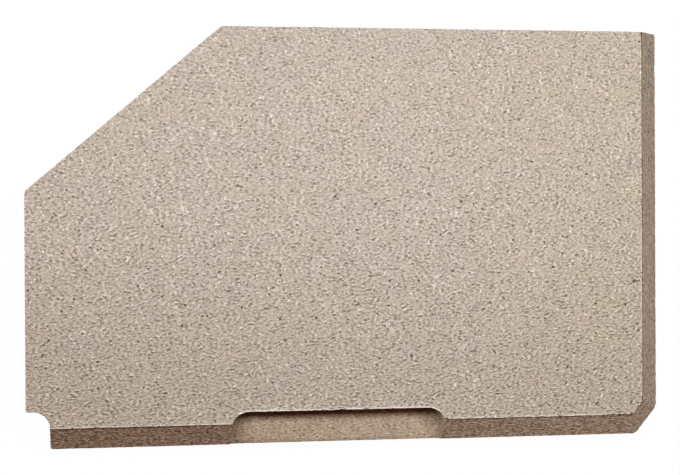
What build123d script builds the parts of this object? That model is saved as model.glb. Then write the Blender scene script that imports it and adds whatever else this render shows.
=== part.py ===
"""Side brick for a stove's firebox: one board of pressed vermiculite, cut to shape and milled from the front.

The brick lies on its back, with the side that faces the fire up. Millimetres, +X along its length, +Y up its
height as it stands in the stove, +Z out of the front. The origin is under the middle of its outline's box.
"""

import os

from build123d import *

# Board
length = 300.0
height = 193.0
thickness = 25.0

# Large corner sawn off at the upper left, along the slope of the firebox
slope_length = 89.0
slope_height = 75.5

# Small corner sawn off at the lower right
corner_length = 10.5
corner_height = 13.0

# Bevel at 45 degrees, along the front of the right side, the small corner and the bottom
bevel = 10.6

# Notch right through the lower left corner
notch_length = 10.7
notch_height = 18.2

# Pocket in the front, open to the bottom
pocket_length = 100.0
pocket_height = 16.0
pocket_depth = 13.0
pocket_from_left = 92.75

# Radius that the milling cutter leaves in the inside corners of the notch and the pocket
cutter_radius = 7.5

# Sides of the outline, worked out from the board
left = -length / 2
right = length / 2
bottom = -height / 2
top = height / 2

with BuildPart() as side_brick:
    # Board sawn to its outline
    with BuildSketch():
        with BuildLine():
            Polyline(
                (left + slope_length, top),
                (right, top),
                (right, bottom + corner_height),
                (right - corner_length, bottom),
                (left, bottom),
                (left, top - slope_height),
                close=True,
            )
        make_face()
    extrude(amount=thickness)

    # One bevel round three front edges, mitred where it turns the small corner
    front_edges = side_brick.faces().sort_by(Axis.Z)[-1].edges()
    right_edge = front_edges.sort_by(Axis.X)[-1]
    bottom_edge = front_edges.sort_by(Axis.Y)[0]
    corner_edge = front_edges.sort_by_distance((right, bottom, thickness))[0]
    chamfer([right_edge, corner_edge, bottom_edge], length=bevel)

    # Notch: a rectangle centred on the corner, with the cutter's radius where its two walls meet
    with BuildSketch() as notch:
        with Locations((left, bottom)):
            Rectangle(2 * notch_length, 2 * notch_height)
        walls_meet = notch.vertices().group_by(Axis.Y)[-1].sort_by(Axis.X)[-1]
        fillet(walls_meet, radius=cutter_radius)
    extrude(amount=thickness, mode=Mode.SUBTRACT)

    # Pocket: a rectangle centred on the bottom side, so that it is open there and cuts across the bevel
    with BuildSketch(Plane.XY.offset(thickness)) as pocket:
        with Locations((left + pocket_from_left + pocket_length / 2, bottom)):
            Rectangle(pocket_length, 2 * pocket_height)
        upper_corners = pocket.vertices().group_by(Axis.Y)[-1]
        fillet(upper_corners, radius=cutter_radius)
    extrude(amount=-pocket_depth, mode=Mode.SUBTRACT)

side_brick.part.label = "side_brick"

os.makedirs("parts", exist_ok=True)
export_step(side_brick.part, "parts/side_brick.step")
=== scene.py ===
"""Looks of the stove side brick: its granular skin, its worn edges, its three finishes, and a plain studio.

Everything is in metres in the part's frame: +X along the brick, +Y up its height, +Z out of the front.
"""

import math

import bmesh
import bpy
import numpy as np
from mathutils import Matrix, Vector, noise
from mathutils.geometry import delaunay_2d_cdt


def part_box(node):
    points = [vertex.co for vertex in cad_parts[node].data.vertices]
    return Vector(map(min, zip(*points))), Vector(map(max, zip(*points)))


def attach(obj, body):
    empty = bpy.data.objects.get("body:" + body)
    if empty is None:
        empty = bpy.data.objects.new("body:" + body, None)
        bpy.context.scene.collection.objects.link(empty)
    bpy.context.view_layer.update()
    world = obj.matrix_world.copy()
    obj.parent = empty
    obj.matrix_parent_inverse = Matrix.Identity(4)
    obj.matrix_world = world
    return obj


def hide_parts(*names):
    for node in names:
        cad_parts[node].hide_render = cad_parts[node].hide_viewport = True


MM = 0.001

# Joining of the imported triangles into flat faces
WELD = 0.001 * MM
FLAT_ANGLE = math.radians(0.5)

# A face looks along an axis if this much of its normal lies along it, and it is upright if no more than this
# much of its normal points up or down
SQUARE_ON = 0.99
UPRIGHT = 0.01

# Spacing of the skin's points: along edges, in rows beside them, and inside the faces
EDGE_STEP = 0.7 * MM
EDGE_ROWS = (0.35 * MM, 0.85 * MM)
FINE_STEP = 1.1 * MM
BACK_STEP = 3.0 * MM
STEP_JITTER = 0.22
SEED = 7

# Room that is kept free: between a row and the other edges, as a share of the row's gap, and between the
# rows and the points inside, as a share of their spacing
ROW_CLEARANCE = 0.9
GRID_CLEARANCE = 0.45

# Points inside a face stand in even-sided triangles. Only the inside of its border is filled, and points
# this near in millimetres count as one
TRIANGLE_HEIGHT = math.sqrt(0.75)
FILL_INSIDE = 1
SAME_POINT = 1e-6

# Relief of the flakes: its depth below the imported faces, pressed and cut, the size of a flake, its thickness
# as a share of that, and the settings of the noise
GRAIN_DEPTH = 0.16 * MM
CUT_DEPTH = 0.24 * MM
GRAIN_SIZE = 2.4 * MM
CUT_LAYER = 0.3
GRAIN_NOISE = (0.6, 2.0, 2)

# Wear of the edges: what every edge loses, how ragged it is, the deeper spots, and how wide the wear is
WEAR_LEAST = 0.06 * MM
WEAR_RAGGED = 0.22 * MM
WEAR_RAGGED_SIZE = 3.0 * MM
CHIP_DEPTH = 0.9 * MM
CHIP_SPACING = 11.0 * MM
CHIP_BAR = 0.36
CHIP_SHIFT = Vector((3.1, 8.4, 5.7))
WEAR_WIDTH = 0.6 * MM
WEAR_SPREAD = 1.4

# Rounding of the outline's outside corners: depth, reach, the least turn of such a corner, and how much of a
# point's normal may point up or down
CORNER_DEPTH = 0.65 * MM
CORNER_REACH = 1.7 * MM
CORNER_ANGLE = math.radians(25)
CORNER_TILT = 0.9

# How much further the pocket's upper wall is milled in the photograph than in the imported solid
POCKET_BACK = 0.15 * MM

# Chips that the photograph shows, as place, reach and depth in millimetres
CHIPS = (
    ((133.8, -85.6, 25.0), 1.7, 1.0),
    ((139.6, -78.6, 25.0), 1.5, 0.8),
    ((130.6, -85.9, 25.0), 1.7, 0.7),
    ((127.8, -85.9, 25.0), 1.7, 0.7),
    ((125.0, -86.0, 25.0), 1.6, 0.8),
    ((122.4, -86.0, 25.0), 1.3, 0.8),
    ((43.2, -86.0, 25.0), 2.2, 1.0),
    ((139.4, 95.8, 25.0), 1.6, 0.8),
)

# Axes of the brick
ALONG_BRICK = 0
UP_BRICK = 1

# Finishes: the skin of the press, a cut across the layers of flakes, and a cut along them
PRESSED = 0
ACROSS = 1
ALONG = 2

# Strokes of the flakes, as size in millimetres, waves in that size, and weight
PRESSED_STROKES = ((2.5, 1.5, 1.0), (1.27, 1.1, 0.75))
ALONG_STROKES = ((1.8, 1.2, 1.0),)

# How the flakes and the painted glints lie: turn in degrees, and how much they are drawn out along it and
# across it
FLAKE_LIE = (4, 1.6, 1.0)
GLINT_LIE = (30, 1.4, 1.0)

# Bends of the patterns, as size and reach in millimetres
FLAKE_DRIFT = (2.0, 1.3)
CURL_DRIFT = (1.25, 0.8)
SPECK_DRIFT = (1.25, 1.0)
LAYER_DRIFT = (4.0, 1.2)

# Soft unevenness of the tone, as size in millimetres and weight
FLAKE_UNEVEN = (2.6, 0.12)
ALONG_UNEVEN = (3.2, 0.4)

# Spots where the strokes show more: their size in millimetres, how much strokes show elsewhere, and how much
# more they show there
BUSY_SIZE = 2.8
BUSY_LEAST = 0.6
BUSY_MORE = 0.8

# Pale curls among the flakes of the skin: size in millimetres, how far a line reaches in the values of the
# noise, weight, and the size and the edge of the spots that have some
CURL_SIZE = 2.0
CURL_WIDTH = 0.09
CURL_LIGHT = 0.4
CURL_SPOT_SIZE = 2.2
CURL_SPOT_EDGE = (0.46, 0.6)

# Specks, as spacing of their cells in millimetres, chance of one in a cell, and radius as a share of the
# spacing. The glints are pale specks painted as highlights, and the pits are darkened with painted shade
DARK_SPECKS = (1.7, 0.03, 0.42)
PAINTED_GLINTS = (1.4, 0.07, 0.42)
PITS = (5.0, 0.55, 0.15)
TEARS = (1.0, 0.14, 0.45)
ALONG_SPECKS = (2.2, 0.05, 0.42)

# How much the specks change the tone, with the painted highlight of the glints, how deep the tears are, and
# the painted shade of the pits
SPECK_DARK = 0.2
PAINTED_GLINT_LIGHT = 0.23
TEAR_DARK = 0.2
TEAR_DEPTH = 0.3
ALONG_SPECK_DARK = 0.25
PIT_PAINTED_SHADE = (0.2, 0.165, 0.14, 1)

# Layers, grains and tears in a cut across the layers, as sizes along the brick, up it and through it in
# millimetres, and the weight of the grains
ACROSS_LAYERS = (1.6, 1.6, 0.85)
ACROSS_GRAINS = (0.8, 0.8, 0.6)
ACROSS_TEARS = (2.2, 2.2, 1.0)
ACROSS_GRAIN_WEIGHT = 0.4

# Values of a noise where a soft patch starts and is full, and the detail of the stains' patches
PATCH_EDGE = (0.3, 0.7)
PATCH_DETAIL = 3.0

# Colours of the tones from dark to light, and the tone that the patterns are added to
MIDDLE_TONE = 0.5
PRESSED_COLOURS = (
    (0.0, (0.203, 0.148, 0.097)),
    (0.25, (0.333, 0.271, 0.207)),
    (0.5, (0.532, 0.458, 0.39)),
    (0.75, (0.793, 0.713, 0.644)),
    (1.0, (0.95, 0.894, 0.841)),
)
ACROSS_COLOURS = (
    (0.0, (0.087, 0.053, 0.032)),
    (0.25, (0.227, 0.165, 0.118)),
    (0.5, (0.405, 0.317, 0.245)),
    (0.75, (0.56, 0.464, 0.377)),
    (1.0, (0.706, 0.612, 0.517)),
)
ALONG_COLOURS = (
    (0.0, (0.13, 0.085, 0.05)),
    (0.25, (0.276, 0.202, 0.138)),
    (0.5, (0.442, 0.342, 0.247)),
    (0.75, (0.6, 0.485, 0.37)),
    (1.0, (0.76, 0.645, 0.52)),
)

# How much the flakes show in the colour, how much more they do on a cut that faces the foot as painted shading
# of its relief in grazing light, how much of that cut's relief the other cuts have, and how deep the relief is
PRESSED_CONTRAST = 0.69
ACROSS_CONTRAST = 0.85
ACROSS_FOOT = 0.64
ACROSS_SMOOTH = 0.5
ALONG_CONTRAST = 0.75
PRESSED_BUMP = 1.1 * MM
ACROSS_BUMP = 1.2 * MM
ALONG_BUMP = 0.8 * MM

# How much of a normal points to the foot where a face starts to count as facing it, and where it does fully
FOOT_FACING = (0.3, 0.6)

# The board is matte
ROUGHNESS = 0.95
SPECULAR = 0.2

# Edges between the front and the milled faces: their width, how much of them is left that far in, the painted
# highlight along them on the front and the painted shade along them on the milled face, and how strong these
# are at least. The painted highlight and shade are strongest where the milled face looks most towards the foot
RIM_WIDTH = 0.5 * MM
RIM_FADE = 0.35
RIM_PAINTED_HIGHLIGHT = 1.25
RIM_PAINTED_SHADE = 2.8
RIM_LEAST = 0.48
RIM_STEEPNESS = 3

# Small bites out of those edges: their size in millimetres, how ragged they are, how much edges with a strong
# painted highlight are spared, where a bite starts and is full, how dark it is, and how much the chips count
BITE_SIZE = 1.4
BITE_RAGGED = 1.6
BITE_SPARED = 0.2
BITE_EDGE = (1.0, 1.15)
BITE_DARK = 0.3
CHIP_BITE = 1.2

# Dashes of painted shadow along those edges on the milled face: size in millimetres, edge, and how dark they
# are
SHADOW_DASH_SIZE = 3.0
SHADOW_DASH_EDGE = (0.45, 0.6)
SHADOW_DASH_DARK = 0.66

# Painted shade of the milled faces that look towards the foot, away from the light. It and the front's painted
# shade are strongest on the left: the places in millimetres where they are weakest and full, and their least
# shares
FOOT_PAINTED_SHADE = (0.84, 0.7, 0.63, 1)
SHADE_RIGHT = 140.0
SHADE_LEFT = -140.0
FOOT_SHADE_LEAST = 0.25
FRONT_SHADE_LEAST = 0.55

# Tints that grow along an axis of the brick, as colour, axis, and the places in millimetres where they start
# and
# are full: painted shade that darkens the front towards its bottom, a warmer tint towards its right end, and
# on the pocket's floor painted shade under its rim, a darker open side, and at its left end the painted shadow
# of its left wall with the brown of a small remnant at its foot
FRONT_PAINTED_SHADE = ((0.88, 0.86, 0.825, 1), UP_BRICK, 25.0, -85.0)
RIGHT_TINT = ((1.0, 0.994, 0.96, 1), ALONG_BRICK, 0.0, 140.0)
POCKET_SHADES_AND_TINTS = (
    # Painted shade under the rim, where the upper wall's shadow falls
    ((0.75, 0.46, 0.36, 1), UP_BRICK, -86.5, -82.5),
    # Darker towards the open side
    ((0.8, 0.775, 0.755, 1), UP_BRICK, -94.3, -95.8),
    # Painted shadow of the left wall at the left end, with the brown of a small remnant at its foot
    ((0.6, 0.555, 0.515, 1), ALONG_BRICK, -44.5, -54.0),
)

# Faint stains of the front in soft patches, as colour and size in millimetres
PATCH_STAINS = (((1, 0.97, 1, 1), 12.0), ((1, 1, 0.955, 1), 18.0))

# The flakes and the pits of the front show less towards the top: the heights in millimetres where they show
# least and fully, and the least share
CALM_TOP = (95.0, 10.0, 0.87)
PIT_CALM_TOP = (95.0, -30.0, 0.3)

# Camera, as fitted to the straight edges of the photograph, with its turns in degrees
CAMERA_SENSOR = 36.0
CAMERA_LENS = 85.0
CAMERA_PLACE = (-125.07 * MM, 6.17 * MM, 758.2 * MM)
CAMERA_TURN = (-0.468, -9.183, -0.321)
CAMERA_NEAR = 0.01

# Lamps, as name, place, aim, size, power in watts and colour, and the strength of the light from all round
LAMPS = (
    ("key", (0.055, 0.085, 0.459), (0.055, 0, 0), (0.676, 0.12), 2.88, (1, 1, 1)),
    ("side_fill", (-0.75, 0.0, 0.13), (0, 0, 0), (0.25, 0.15), 3.05, (1, 0.86, 0.76)),
    ("foot_fill", (0.32, -0.55, 0.1), (0, 0, 0), (0.25, 0.12), 0.66, (1, 0.75, 0.64)),
)
WORLD_FILL = 0.005

# Floor: white with a faint shade as the camera sees it, and brown in the light that it throws back
WHITE = (1, 1, 1, 1)
FLOOR_SIZE = 8.0
FLOOR_SHADE = 0.02
FLOOR_BROWN = (0.45, 0.34, 0.27, 1)

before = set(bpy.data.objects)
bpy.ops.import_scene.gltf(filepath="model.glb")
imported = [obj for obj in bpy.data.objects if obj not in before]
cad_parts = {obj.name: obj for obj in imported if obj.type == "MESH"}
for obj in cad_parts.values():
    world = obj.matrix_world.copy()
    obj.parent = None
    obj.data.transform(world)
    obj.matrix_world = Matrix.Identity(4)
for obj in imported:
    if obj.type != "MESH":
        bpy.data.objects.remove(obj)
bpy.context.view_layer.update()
brick_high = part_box("side_brick")[1]


def flat_faces(solid):
    """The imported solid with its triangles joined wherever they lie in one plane."""
    joined = bmesh.new()
    joined.from_mesh(solid.data)
    bmesh.ops.remove_doubles(joined, verts=joined.verts, dist=WELD)
    bmesh.ops.dissolve_limit(joined, angle_limit=FLAT_ANGLE, verts=joined.verts, edges=joined.edges)
    joined.normal_update()
    return joined


def distance_to_outline(points, outline):
    """Distance of each plane point from a closed outline, negative outside it."""
    start = outline
    end = np.roll(outline, -1, axis=0)
    along = end - start
    distance = distance_to_edges(points, start, end)
    spans = (start[:, 1] > points[:, None, 1]) != (end[:, 1] > points[:, None, 1])
    rise = np.where(along[:, 1] == 0, 1.0, along[:, 1])
    crossing = start[:, 0] + (points[:, None, 1] - start[:, 1]) * along[:, 0] / rise
    inside = (spans & (points[:, None, 0] < crossing)).sum(1) % 2 == 1
    return np.where(inside, distance, -distance)


def distance_to_edges(points, starts, ends):
    """Distance of each plane point from the nearest of some straight edges."""
    along = ends - starts
    offset = points[:, None, :] - starts[None, :, :]
    share = (offset * along).sum(2) / (along**2).sum(1)
    nearest = offset - share.clip(0, 1)[:, :, None] * along
    return np.sqrt((nearest**2).sum(2)).min(1)


def rows_beside(outline, samples):
    """Points in rows along an outline, just inside it."""
    ahead = np.roll(samples, -1, axis=0) - samples
    middle = samples + ahead / 2
    inward = np.stack([-ahead[:, 1], ahead[:, 0]], 1)
    inward /= np.sqrt((inward**2).sum(1))[:, None]
    rows = []
    for gap in EDGE_ROWS:
        row = middle + inward * gap
        rows.append(row[distance_to_outline(row, outline) > gap * ROW_CLEARANCE])
    return np.concatenate(rows)


def grid_inside(outline, step, draws):
    """Points scattered evenly inside an outline, clear of the rows beside its edges."""
    low = outline.min(0)
    high = outline.max(0)
    columns = np.arange(low[0], high[0], step)
    lines = np.arange(low[1], high[1], step * TRIANGLE_HEIGHT)
    across, up = np.meshgrid(columns, lines)
    across[1::2] += step / 2
    grid = np.stack([across.ravel(), up.ravel()], 1)
    grid += draws.uniform(-STEP_JITTER, STEP_JITTER, grid.shape) * step
    return grid[distance_to_outline(grid, outline) > EDGE_ROWS[-1] + GRID_CLEARANCE * step]


def is_back(face):
    return face.normal.z < -SQUARE_ON


def is_pressed(face):
    """The front and the back keep the skin of the press. All other faces are cut."""
    at_front = face.normal.z > SQUARE_ON and face.calc_center_median().z > brick_high.z - WELD
    return at_front or is_back(face)


def finish_of(face):
    if is_pressed(face):
        return PRESSED
    return ALONG if face.normal.z > SQUARE_ON else ACROSS


def reaches_back(face):
    return min(corner.co.z for corner in face.verts) < WELD


def is_pocket_wall(face):
    """The pocket's upper wall, which faces the foot and stops at the pocket's floor."""
    return face.normal.y < -SQUARE_ON and not reaches_back(face)


def painted_rim_strength(edge):
    """How strong the painted highlight and shade along an edge of the front and a milled face are, 0 for other
    edges.
    """
    at_front = any(is_pressed(face) for face in edge.link_faces)
    milled = [face for face in edge.link_faces if not is_pressed(face) and not reaches_back(face)]
    if not at_front or not milled:
        return 0.0
    return max(RIM_LEAST, -milled[0].normal.y) ** RIM_STEEPNESS


def chip_at(place):
    """How deep a place is in one of the chips, from 0 to 1."""
    return max(max(0.0, 1.0 - (place / MM - Vector(spot)).length / reach) for spot, reach, depth in CHIPS)


class Skin:
    """Points and triangles of a surface. Flat faces share the points along the edges where they meet."""

    def __init__(self):
        self.places = []
        self.normals = []
        self.edge_gaps = []
        self.pressed = []
        self.on_pocket_wall = []
        self.rims = []
        self.painted_rims = []
        self.triangles = []
        self.finishes = []

    def add_point(self, place, edge_gap):
        self.places.append(place)
        self.normals.append(Vector())
        self.edge_gaps.append(edge_gap)
        self.pressed.append(False)
        self.on_pocket_wall.append(False)
        return len(self.places) - 1

    def cover(self, solid):
        """Fills every flat face of the solid with triangles."""
        corners = {corner: self.add_point(corner.co.copy(), 0.0) for corner in solid.verts}
        edges = {}
        for edge in solid.edges:
            first, last = edge.verts
            spans = max(1, round(edge.calc_length() / EDGE_STEP))
            between = [first.co.lerp(last.co, place / spans) for place in range(1, spans)]
            edges[edge] = [self.add_point(place, 0.0) for place in between]
        draws = np.random.default_rng(SEED)
        for face in solid.faces:
            border = []
            for loop in face.loops:
                between = edges[loop.edge]
                forward = loop.vert == loop.edge.verts[0]
                border += [corners[loop.vert], *(between if forward else between[::-1])]
            self.cover_face(face, border, draws)

    def cover_face(self, face, border, draws):
        """Fills one flat face, inside its border of shared points."""
        origin = face.verts[0].co
        across = face.calc_tangent_edge()
        up = face.normal.cross(across)

        def on_plane(place):
            return ((place - origin).dot(across), (place - origin).dot(up))

        outline = np.array([on_plane(corner.co) for corner in face.verts])
        samples = np.array([on_plane(self.places[point]) for point in border])
        step = BACK_STEP if is_back(face) else FINE_STEP
        inner = np.concatenate([rows_beside(outline, samples), grid_inside(outline, step, draws)])
        gaps = distance_to_outline(inner, outline)
        points = list(border)
        for spot, gap in zip(inner, gaps):
            points.append(self.add_point(origin + across * spot[0] + up * spot[1], gap))
        flat = [Vector(spot) / MM for spot in [*samples, *inner]]
        made = delaunay_2d_cdt(flat, [], [list(range(len(border)))], FILL_INSIDE, SAME_POINT)
        triangles = made[2]
        sources = made[3]
        rims, painted_rims = self.rim_values(face, on_plane, np.concatenate([samples, inner]))
        rims += [CHIP_BITE * chip_at(self.places[point]) for point in points]
        for triangle in triangles:
            corners = [sources[corner][0] for corner in triangle]
            self.triangles.append([points[corner] for corner in corners])
            self.rims += [rims[corner] for corner in corners]
            self.painted_rims += [painted_rims[corner] for corner in corners]
        finish = finish_of(face)
        self.finishes += [finish] * len(triangles)
        for point in points:
            self.normals[point] += face.normal
            self.pressed[point] = self.pressed[point] or finish == PRESSED
            self.on_pocket_wall[point] = self.on_pocket_wall[point] or is_pocket_wall(face)

    def rim_values(self, face, on_plane, spots):
        """How near each spot of a face is to a milled edge of the front, and that times its painted highlight
        and shade.
        """
        rims = np.zeros(len(spots))
        painted_rims = np.zeros(len(spots))
        for edge in face.edges:
            strength = painted_rim_strength(edge)
            if strength > 0:
                ends = np.array([on_plane(corner.co) for corner in edge.verts])
                gaps = distance_to_edges(spots, ends[:1], ends[1:])
                near = np.interp(gaps, (0.0, RIM_WIDTH, 2 * RIM_WIDTH), (1.0, RIM_FADE, 0.0))
                rims = np.maximum(rims, near)
                painted_rims = np.maximum(painted_rims, near * strength)
        return rims, painted_rims


def share(value):
    """A noise value between -1 and 1, as a share from 0 to 1."""
    return min(1.0, max(0.0, 0.5 + 0.5 * value))


def grain(place, pressed):
    """Depth of the flakes' relief. A cut face shows the flakes as layers that lie along the board."""
    spot = place / GRAIN_SIZE
    if pressed:
        return GRAIN_DEPTH * share(noise.fractal(spot, *GRAIN_NOISE))
    layered = Vector((spot.x, spot.y, spot.z / CUT_LAYER))
    return CUT_DEPTH * share(noise.fractal(layered, *GRAIN_NOISE))


def outline_corners(solid):
    """Places, seen from above, of the outside corners of the outline."""
    corners = []
    for edge in solid.edges:
        upright = all(abs(face.normal.z) < UPRIGHT for face in edge.link_faces)
        down_to_back = min(corner.co.z for corner in edge.verts) < WELD
        if upright and down_to_back and edge.calc_face_angle_signed() > CORNER_ANGLE:
            corners.append(edge.verts[0].co.xy)
    return corners


def dent(gap, reach, depth):
    """Depth of a round dent, at a gap from its middle."""
    return depth * max(0.0, 1.0 - gap / reach) ** 2


def wear(place):
    """How far the edges have crumbled near a place."""
    ragged = max(0.0, noise.noise(place / WEAR_RAGGED_SIZE))
    chip = max(0.0, noise.noise(place / CHIP_SPACING + CHIP_SHIFT) - CHIP_BAR)
    loss = WEAR_LEAST + WEAR_RAGGED * ragged + CHIP_DEPTH * chip
    for spot, reach, depth in CHIPS:
        loss += dent((place - Vector(spot) * MM).length, reach * MM, depth * MM)
    return loss


def rounding(place, corners):
    """How far the outside corners of the outline are rounded off near a place."""
    return max(dent((place.xy - corner).length, CORNER_REACH, CORNER_DEPTH) for corner in corners)


def worn_place(place, normal, gap, pressed, corners):
    """A point of the skin, sunk by the grain and, near an edge, by wear. It never stands proud."""
    loss = wear(place)
    width = WEAR_WIDTH + WEAR_SPREAD * loss
    at_edge = max(0.0, 1.0 - gap / width)
    off_edge = min(1.0, gap / width)
    sunk = loss * at_edge**2 + grain(place, pressed) * off_edge
    if abs(normal.z) < CORNER_TILT:
        sunk = max(sunk, rounding(place, corners))
    return place - normal * sunk


def brick_piece():
    """The brick that is shown: a closed skin with relief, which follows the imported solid."""
    solid = flat_faces(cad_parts["side_brick"])
    skin = Skin()
    skin.cover(solid)
    corners = outline_corners(solid)
    solid.free()
    places = []
    for place, normal, gap, pressed in zip(skin.places, skin.normals, skin.edge_gaps, skin.pressed):
        places.append(worn_place(place, normal.normalized(), gap, pressed, corners))
    for place, flat_place, on_wall in zip(places, skin.places, skin.on_pocket_wall):
        if on_wall:
            place.y = min(place.y + POCKET_BACK, flat_place.y + EDGE_ROWS[0])
    mesh = bpy.data.meshes.new("worn_brick")
    mesh.from_pydata(places, [], skin.triangles)
    mesh.polygons.foreach_set("material_index", skin.finishes)
    # The second attribute holds the strength of the painted highlight and shade along the milled edges
    for name, values in (("rim", skin.rims), ("painted_rim", skin.painted_rims)):
        attribute = mesh.attributes.new(name, "FLOAT", "CORNER")
        attribute.data.foreach_set("value", values)
    mesh.shade_smooth()
    mesh.update()
    piece = bpy.data.objects.new("worn_brick", mesh)
    bpy.context.scene.collection.objects.link(piece)
    return piece


def node(tree, kind, inputs=None, **settings):
    """A new shader node with its settings. Its inputs are set to values or linked to sockets."""
    made = tree.nodes.new("ShaderNode" + kind)
    for name, value in settings.items():
        setattr(made, name, value)
    for name, value in (inputs or {}).items():
        if isinstance(value, bpy.types.NodeSocket):
            tree.links.new(value, made.inputs[name])
        else:
            made.inputs[name].default_value = value
    return made


def new_material(name):
    made = bpy.data.materials.new(name)
    made.use_nodes = True
    made.node_tree.nodes.clear()
    return made, made.node_tree


def calc(tree, operation, first, second=0.0):
    return node(tree, "Math", {0: first, 1: second}, operation=operation).outputs[0]


def total(tree, *parts):
    """Sum of several values."""
    result = parts[0]
    for part in parts[1:]:
        result = calc(tree, "ADD", result, part)
    return result


def centred(tree, value, weight):
    """A value that runs from 0 to 1, moved to lie round 0 and weighted."""
    return calc(tree, "MULTIPLY", calc(tree, "SUBTRACT", value, 0.5), weight)


def step(tree, value, low, high):
    """0 below low, 1 above high, and a soft rise between them."""
    inputs = {"Value": value, "From Min": low, "From Max": high}
    return node(tree, "MapRange", inputs, interpolation_type="SMOOTHSTEP").outputs[0]


def place_in_mm(tree):
    inputs = {0: node(tree, "TexCoord").outputs["Object"], "Scale": 1 / MM}
    return node(tree, "VectorMath", inputs, operation="SCALE").outputs[0]


def stretched(tree, place, turn, length, width, height=1.0):
    """A place measured along and across a direction, so that a pattern on it is drawn out that way."""
    inputs = {"Vector": place, "Rotation": (0, 0, math.radians(turn)), "Scale": (length, width, height)}
    return node(tree, "Mapping", inputs, vector_type="TEXTURE").outputs[0]


def drifted(tree, place, size, amount):
    """A place moved about by a soft noise, so that a pattern on it bends."""
    drift = node(tree, "TexNoise", {"Vector": place, "Scale": 1 / size, "Detail": 1.0})
    inputs = {0: drift.outputs["Color"], 1: (0.5, 0.5, 0.5)}
    shift = node(tree, "VectorMath", inputs, operation="SUBTRACT").outputs[0]
    scaled = node(tree, "VectorMath", {0: shift, "Scale": amount}, operation="SCALE").outputs[0]
    return node(tree, "VectorMath", {0: place, 1: scaled}, operation="ADD").outputs[0]


def soft_noise(tree, place, size, detail=1.0):
    return node(tree, "TexNoise", {"Vector": place, "Scale": 1 / size, "Detail": detail}).outputs[0]


def uneven(tree, place, size, weight):
    """A soft noise that lies round 0."""
    return centred(tree, soft_noise(tree, place, size), weight)


def strokes(tree, place, size, waves):
    """Short strokes that lie every way, like flakes seen edge on."""
    inputs = {"Vector": place, "Scale": 1 / size, "Frequency": waves, "Anisotropy": 0.0}
    return node(tree, "TexGabor", inputs, gabor_type="2D").outputs["Value"]


def specks(tree, place, spacing, chance, radius):
    """Round specks, in a share of the cells of an uneven grid. The radius is a share of the spacing."""
    cells = node(tree, "TexVoronoi", {"Vector": place, "Scale": 1 / spacing})
    draw = node(tree, "SeparateColor", {0: cells.outputs["Color"]})
    chosen = calc(tree, "LESS_THAN", draw.outputs[0], chance)
    return calc(tree, "MULTIPLY", chosen, step(tree, cells.outputs["Distance"], radius, radius / 2))


def curls(tree, place):
    """Thin curved lines, in some spots."""
    from_line = calc(tree, "SUBTRACT", soft_noise(tree, place, CURL_SIZE, 0.0), 0.5)
    line = step(tree, calc(tree, "ABSOLUTE", from_line), CURL_WIDTH, 0.0)
    spots = step(tree, soft_noise(tree, place, CURL_SPOT_SIZE), *CURL_SPOT_EDGE)
    return calc(tree, "MULTIPLY", line, spots)


def attribute(tree, name):
    return node(tree, "Attribute", attribute_name=name).outputs["Fac"]


def colour_ramp(tree, tone, stops):
    ramp = node(tree, "ValToRGB", {0: tone})
    elements = ramp.color_ramp.elements
    for position, colour in stops[1:-1]:
        elements.new(position)
    for element, (position, colour) in zip(elements, stops):
        element.position = position
        element.color = (*colour, 1)
    return ramp.outputs[0]


def matte_surface(tree, colour, height, depth):
    bump = node(tree, "Bump", {"Strength": 1.0, "Distance": depth, "Height": height})
    inputs = {"Base Color": colour, "Roughness": ROUGHNESS, "Specular IOR Level": SPECULAR}
    inputs["Normal"] = bump.outputs[0]
    shader = node(tree, "BsdfPrincipled", inputs)
    node(tree, "OutputMaterial", {"Surface": shader.outputs[0]})


def flake_strokes(tree, place, sizes):
    """Strokes of several sizes, which bend, lie a little along the board and show more in some spots."""
    bent = stretched(tree, drifted(tree, place, *FLAKE_DRIFT), *FLAKE_LIE)
    layers = [centred(tree, strokes(tree, bent, size, waves), weight) for size, waves, weight in sizes]
    layers.append(uneven(tree, place, *FLAKE_UNEVEN))
    busy = step(tree, soft_noise(tree, place, BUSY_SIZE), *PATCH_EDGE)
    strength = calc(tree, "ADD", calc(tree, "MULTIPLY", busy, BUSY_MORE), BUSY_LEAST)
    return calc(tree, "MULTIPLY", total(tree, *layers), strength)


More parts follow.
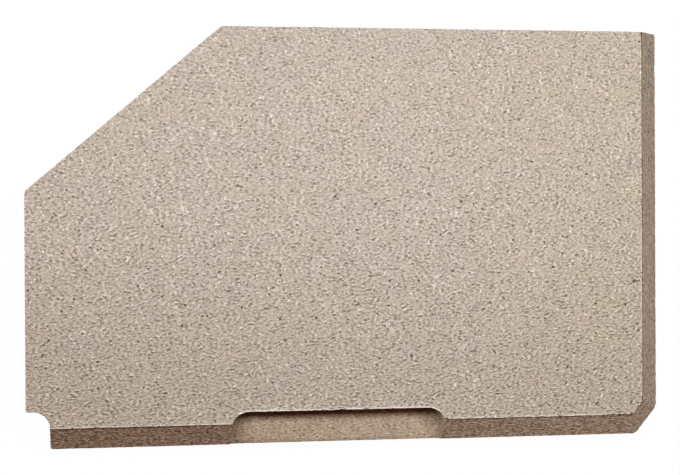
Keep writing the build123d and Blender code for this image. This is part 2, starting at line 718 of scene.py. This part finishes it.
def pressed_finish():
    """The skin of the press: pale flakes every way, dark specks, pits, and painted glints, highlights and
    shade.
    """
    material, tree = new_material("pressed_vermiculite")
    place = place_in_mm(tree)
    wave = flake_strokes(tree, place, PRESSED_STROKES)
    curl = curls(tree, drifted(tree, place, *CURL_DRIFT))
    wave = total(tree, wave, calc(tree, "MULTIPLY", curl, CURL_LIGHT))
    wave = calc(tree, "MULTIPLY", wave, share_along(tree, place, *CALM_TOP))
    scattered = drifted(tree, place, *SPECK_DRIFT)
    dark = specks(tree, scattered, *DARK_SPECKS)
    painted_glint = specks(tree, stretched(tree, scattered, *GLINT_LIE), *PAINTED_GLINTS)
    painted_rim = attribute(tree, "painted_rim")
    ragged = uneven(tree, place, BITE_SIZE, BITE_RAGGED)
    spared = calc(tree, "MULTIPLY", painted_rim, -BITE_SPARED)
    bite = step(tree, total(tree, attribute(tree, "rim"), ragged, spared), *BITE_EDGE)
    whole = calc(tree, "SUBTRACT", 1.0, bite)
    tone = total(
        tree,
        calc(tree, "MULTIPLY", wave, PRESSED_CONTRAST),
        calc(tree, "MULTIPLY", dark, -SPECK_DARK),
        # Painted highlights of glinting flakes
        calc(tree, "MULTIPLY", painted_glint, PAINTED_GLINT_LIGHT),
        # Painted highlight along the milled edges, left out where a bite is
        calc(tree, "MULTIPLY", calc(tree, "MULTIPLY", painted_rim, RIM_PAINTED_HIGHLIGHT), whole),
        calc(tree, "MULTIPLY", bite, -BITE_DARK),
        MIDDLE_TONE,
    )
    colour = colour_ramp(tree, tone, PRESSED_COLOURS)
    fading = share_along(tree, place, *PIT_CALM_TOP)
    # Painted shade in the pits
    pits = calc(tree, "MULTIPLY", specks(tree, scattered, *PITS), fading)
    colour = stained_and_shaded(tree, colour, PIT_PAINTED_SHADE, pits)
    for stain_and_shade, size in PATCH_STAINS:
        patches = step(tree, soft_noise(tree, place, size, PATCH_DETAIL), *PATCH_EDGE)
        colour = stained_and_shaded(tree, colour, stain_and_shade, patches)
    # Painted shade that darkens the front towards its bottom, more on its left
    on_left = share_along(tree, place, SHADE_RIGHT, SHADE_LEFT, FRONT_SHADE_LEAST, ALONG_BRICK)
    colour = tinted_along(tree, colour, place, FRONT_PAINTED_SHADE, on_left)
    colour = tinted_along(tree, colour, place, RIGHT_TINT)
    matte_surface(tree, colour, wave, PRESSED_BUMP)
    return material


def facing_foot(tree):
    """1 on faces that look towards the foot of the brick, which is down in the stove, and else 0."""
    facing = node(tree, "SeparateXYZ", {0: node(tree, "NewGeometry").outputs["True Normal"]}).outputs[1]
    return step(tree, calc(tree, "MULTIPLY", facing, -1.0), *FOOT_FACING)


def share_along(tree, place, start, end, least=0.0, axis=UP_BRICK):
    """A share that rises from its least to 1 along an axis of the brick."""
    inputs = {"Value": node(tree, "SeparateXYZ", {0: place}).outputs[axis]}
    inputs.update({"From Min": start, "From Max": end, "To Min": least})
    return node(tree, "MapRange", inputs, interpolation_type="SMOOTHSTEP").outputs[0]


def blended(tree, amount, first, second, blend):
    """Two colours blended. The Mix node takes colours at its inputs 6 and 7, and gives one at output 2."""
    inputs = {0: amount, 6: first, 7: second}
    return node(tree, "Mix", inputs, data_type="RGBA", blend_type=blend).outputs[2]


# Multiplies a colour by a tint: by real stains, and by painted shade
def stained_and_shaded(tree, colour, stain_and_shade, amount):
    return blended(tree, amount, colour, stain_and_shade, "MULTIPLY")


def tinted_along(tree, colour, place, stain_and_shade, strength=1.0):
    """A colour with a tint that grows along an axis of the brick, used for painted shade on the front and in
    the pocket.
    """
    tint, axis, start, end = stain_and_shade
    amount = share_along(tree, place, start, end, axis=axis)
    return stained_and_shaded(tree, colour, tint, calc(tree, "MULTIPLY", amount, strength))


def across_finish():
    """A cut across the layers: browner, flakes as streaks along the board, torn pits, and painted shade."""
    material, tree = new_material("vermiculite_cut_across")
    place = place_in_mm(tree)
    bent = drifted(tree, place, *LAYER_DRIFT)
    layers = soft_noise(tree, stretched(tree, bent, 0, *ACROSS_LAYERS), 1.0)
    grains = soft_noise(tree, stretched(tree, bent, 0, *ACROSS_GRAINS), 1.0)
    torn = specks(tree, stretched(tree, bent, 0, *ACROSS_TEARS), *TEARS)
    wave = total(tree, centred(tree, layers, 1.0), centred(tree, grains, ACROSS_GRAIN_WEIGHT))
    # Dashes of painted shadow just under the edge with the front
    shadow_dashes = step(tree, soft_noise(tree, place, SHADOW_DASH_SIZE), *SHADOW_DASH_EDGE)
    foot = facing_foot(tree)
    # The flakes show more in the colour on a cut that faces the foot: painted shading of its relief in grazing
    # light
    grazing_shading = calc(tree, "ADD", calc(tree, "MULTIPLY", foot, ACROSS_FOOT), 1.0)
    tone = total(
        tree,
        calc(tree, "MULTIPLY", calc(tree, "MULTIPLY", wave, ACROSS_CONTRAST), grazing_shading),
        calc(tree, "MULTIPLY", calc(tree, "MULTIPLY", torn, -TEAR_DARK), grazing_shading),
        # Painted shade along the edge with the front
        calc(tree, "MULTIPLY", attribute(tree, "painted_rim"), -RIM_PAINTED_SHADE),
        calc(tree, "MULTIPLY", calc(tree, "MULTIPLY", attribute(tree, "rim"), shadow_dashes), -SHADOW_DASH_DARK),
        MIDDLE_TONE,
    )
    deep = calc(tree, "ADD", calc(tree, "MULTIPLY", foot, 1.0 - ACROSS_SMOOTH), ACROSS_SMOOTH)
    height = calc(tree, "MULTIPLY", total(tree, wave, calc(tree, "MULTIPLY", torn, -TEAR_DEPTH)), deep)
    clean = colour_ramp(tree, tone, ACROSS_COLOURS)
    # Painted shade, darker and redder, on the milled faces that look towards the foot, more on the left
    on_left = share_along(tree, place, SHADE_RIGHT, SHADE_LEFT, FOOT_SHADE_LEAST, ALONG_BRICK)
    colour = stained_and_shaded(tree, clean, FOOT_PAINTED_SHADE, calc(tree, "MULTIPLY", foot, on_left))
    matte_surface(tree, colour, height, ACROSS_BUMP)
    return material


def along_finish():
    """A cut along the layers, on the pocket's floor: flakes like the skin's, but softer and browner."""
    material, tree = new_material("vermiculite_cut_along")
    place = place_in_mm(tree)
    wave = flake_strokes(tree, place, ALONG_STROKES)
    dark = specks(tree, drifted(tree, place, *SPECK_DRIFT), *ALONG_SPECKS)
    tone = total(
        tree,
        calc(tree, "MULTIPLY", wave, ALONG_CONTRAST),
        calc(tree, "MULTIPLY", dark, -ALONG_SPECK_DARK),
        uneven(tree, place, *ALONG_UNEVEN),
        MIDDLE_TONE,
    )
    colour = colour_ramp(tree, tone, ALONG_COLOURS)
    # Painted shade under the rim and at the left end, and a darker open side
    for stain_and_shade in POCKET_SHADES_AND_TINTS:
        colour = tinted_along(tree, colour, place, stain_and_shade)
    matte_surface(tree, colour, wave, ALONG_BUMP)
    return material


def seen_rays(tree):
    """1 for what the camera sees, also in a reflection or through glass, and 0 for light on other things."""
    rays = node(tree, "LightPath").outputs
    through = calc(tree, "MAXIMUM", rays["Is Glossy Ray"], rays["Is Transmission Ray"])
    return calc(tree, "MAXIMUM", rays["Is Camera Ray"], through)


def floor_finish():
    material, tree = new_material("pale_floor")
    seen = seen_rays(tree)
    colour = blended(tree, seen, FLOOR_BROWN, WHITE, "MIX")
    paint = node(tree, "BsdfDiffuse", {"Color": colour})
    white = node(tree, "Emission", {"Color": WHITE, "Strength": 1.0})
    pale = calc(tree, "MULTIPLY", seen, 1 - FLOOR_SHADE)
    mixed = node(tree, "MixShader", {0: pale, 1: paint.outputs[0], 2: white.outputs[0]})
    node(tree, "OutputMaterial", {"Surface": mixed.outputs[0]})
    return material


def make_floor():
    mesh = bpy.data.meshes.new("floor")
    half = FLOOR_SIZE / 2
    corners = [(-half, -half, 0), (half, -half, 0), (half, half, 0), (-half, half, 0)]
    mesh.from_pydata(corners, [], [(0, 1, 2, 3)])
    mesh.materials.append(floor_finish())
    floor = bpy.data.objects.new("floor", mesh)
    bpy.context.scene.collection.objects.link(floor)


def area_light(name, place, aim, size, power, colour):
    data = bpy.data.lights.new(name, "AREA")
    data.shape = "RECTANGLE"
    data.size, data.size_y = size
    data.energy = power
    data.color = colour
    lamp = bpy.data.objects.new(name, data)
    lamp.location = place
    lamp.rotation_euler = (Vector(aim) - Vector(place)).to_track_quat("-Z", "Y").to_euler()
    bpy.context.scene.collection.objects.link(lamp)


def make_lights():
    for lamp in LAMPS:
        area_light(*lamp)
    world = bpy.data.worlds.new("studio")
    bpy.context.scene.world = world
    world.use_nodes = True
    tree = world.node_tree
    tree.nodes.clear()
    fill = node(tree, "Background", {"Color": WHITE, "Strength": WORLD_FILL})
    white = node(tree, "Background", {"Color": WHITE, "Strength": 1.0})
    mixed = node(tree, "MixShader", {0: seen_rays(tree), 1: fill.outputs[0], 2: white.outputs[0]})
    node(tree, "OutputWorld", {"Surface": mixed.outputs[0]})


def make_camera():
    data = bpy.data.cameras.new("camera")
    data.sensor_width = CAMERA_SENSOR
    data.lens = CAMERA_LENS
    data.clip_start = CAMERA_NEAR
    camera = bpy.data.objects.new("camera", data)
    camera.location = CAMERA_PLACE
    camera.rotation_euler = [math.radians(turn) for turn in CAMERA_TURN]
    bpy.context.scene.collection.objects.link(camera)
    bpy.context.scene.camera = camera


brick = brick_piece()
brick.data.materials.append(pressed_finish())
brick.data.materials.append(across_finish())
brick.data.materials.append(along_finish())
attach(brick, "root")
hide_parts("side_brick")

make_floor()
make_lights()
make_camera()
bpy.context.scene.view_settings.view_transform = "Standard"
